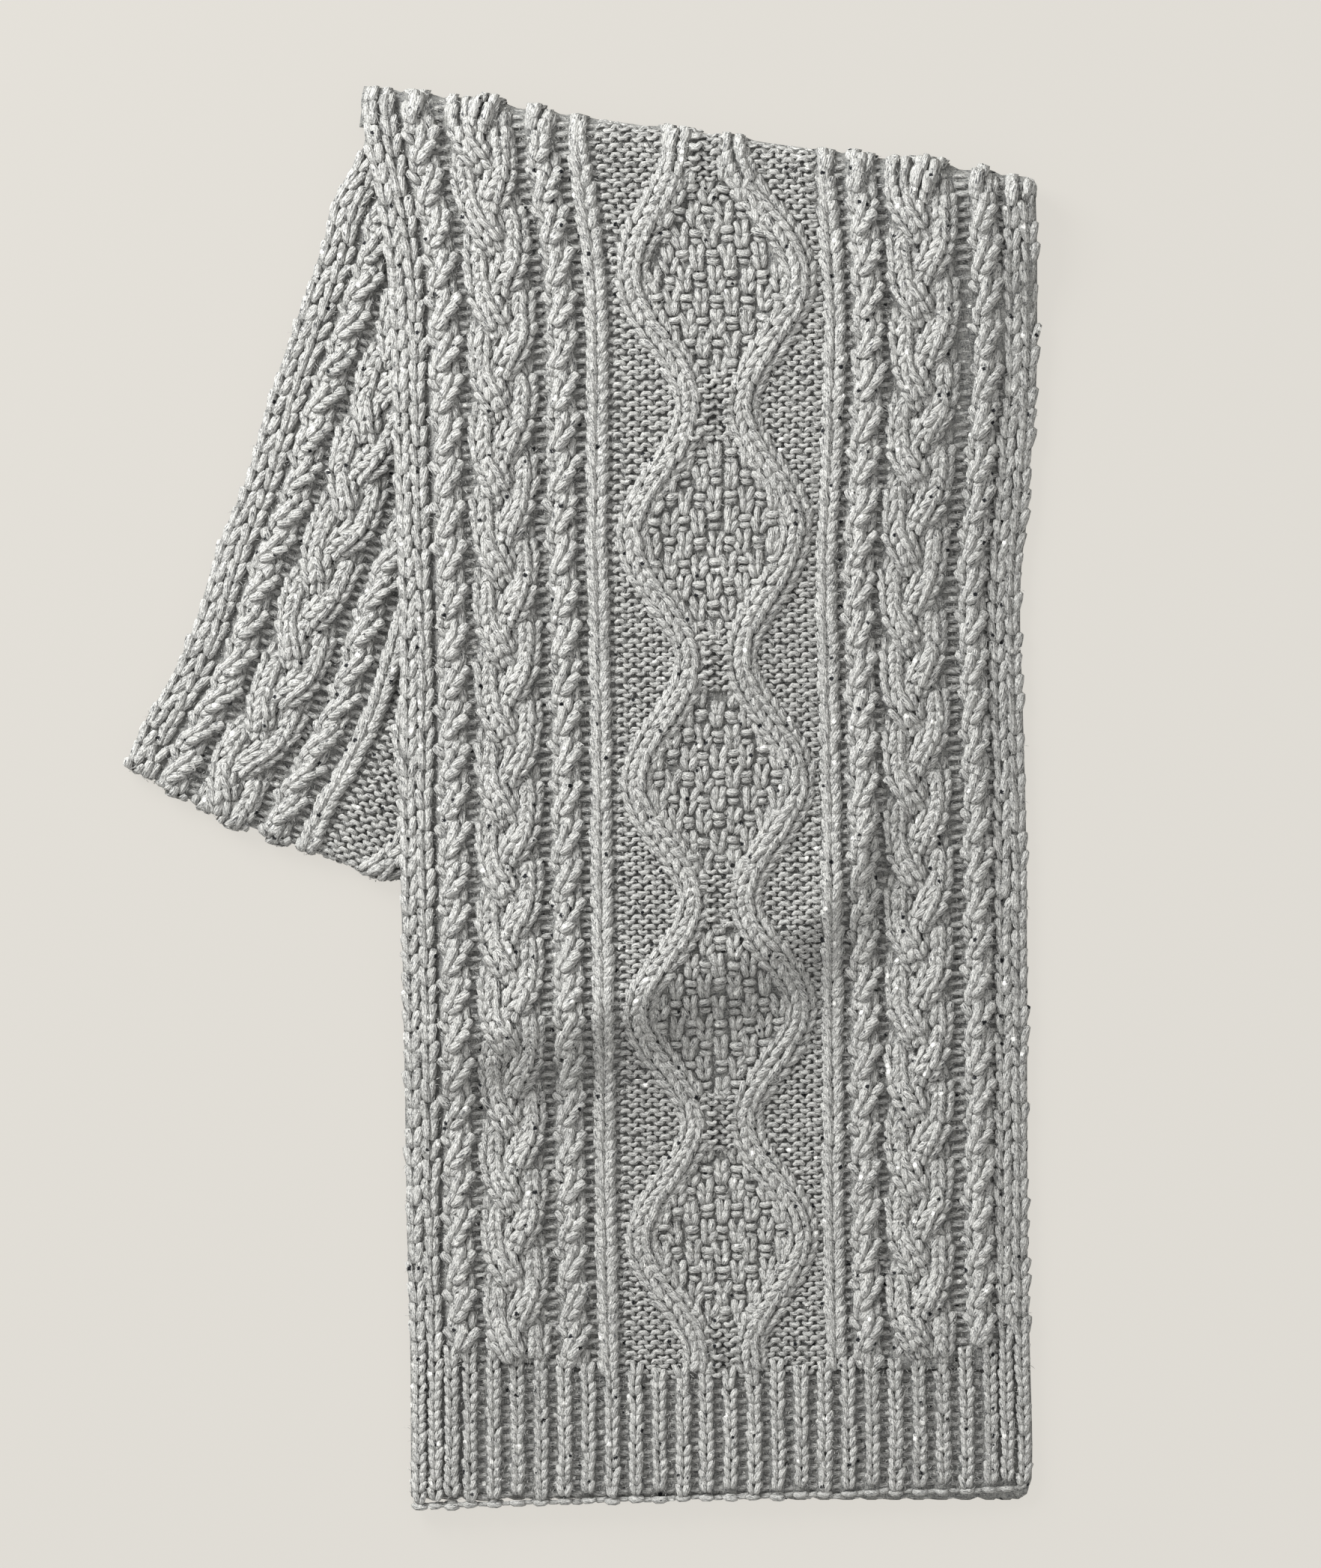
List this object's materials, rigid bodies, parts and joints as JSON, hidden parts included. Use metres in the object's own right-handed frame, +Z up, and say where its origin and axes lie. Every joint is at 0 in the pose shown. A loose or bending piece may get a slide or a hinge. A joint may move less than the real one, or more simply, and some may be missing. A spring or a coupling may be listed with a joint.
{
  "type": "folded cable-knit scarf",
  "caption": "Long wool scarf in thick cable knit with ribbed ends, folded in half and then over on itself, lying flat.",
  "frame": {"origin": "middle of the folded scarf's outline, on the surface that it lies on", "axes": "+Z up from the surface, +Y along the front stretch from its ribbed hem to the top fold, +X across it to the right"},
  "size_m": [0.3661, 0.5688, 0.0212],
  "materials": {
    "front_panel": "matt, light grey marl wool in cable knit",
    "front_ribbed_hem": "matt, light grey marl wool in one-by-one rib",
    "back_panel": "matt, light grey marl wool in cable knit",
    "folded_layers": "matt, light grey marl wool",
    "under_ribbed_hem": "matt, light grey marl wool in one-by-one rib"
  },
  "bodies": {
    "root": {"front_panel": "front_panel", "front_ribbed_hem": "front_ribbed_hem", "back_panel": "back_panel", "folded_layers": "folded_layers", "under_ribbed_hem": "under_ribbed_hem"}
  },
  "joints": []
}
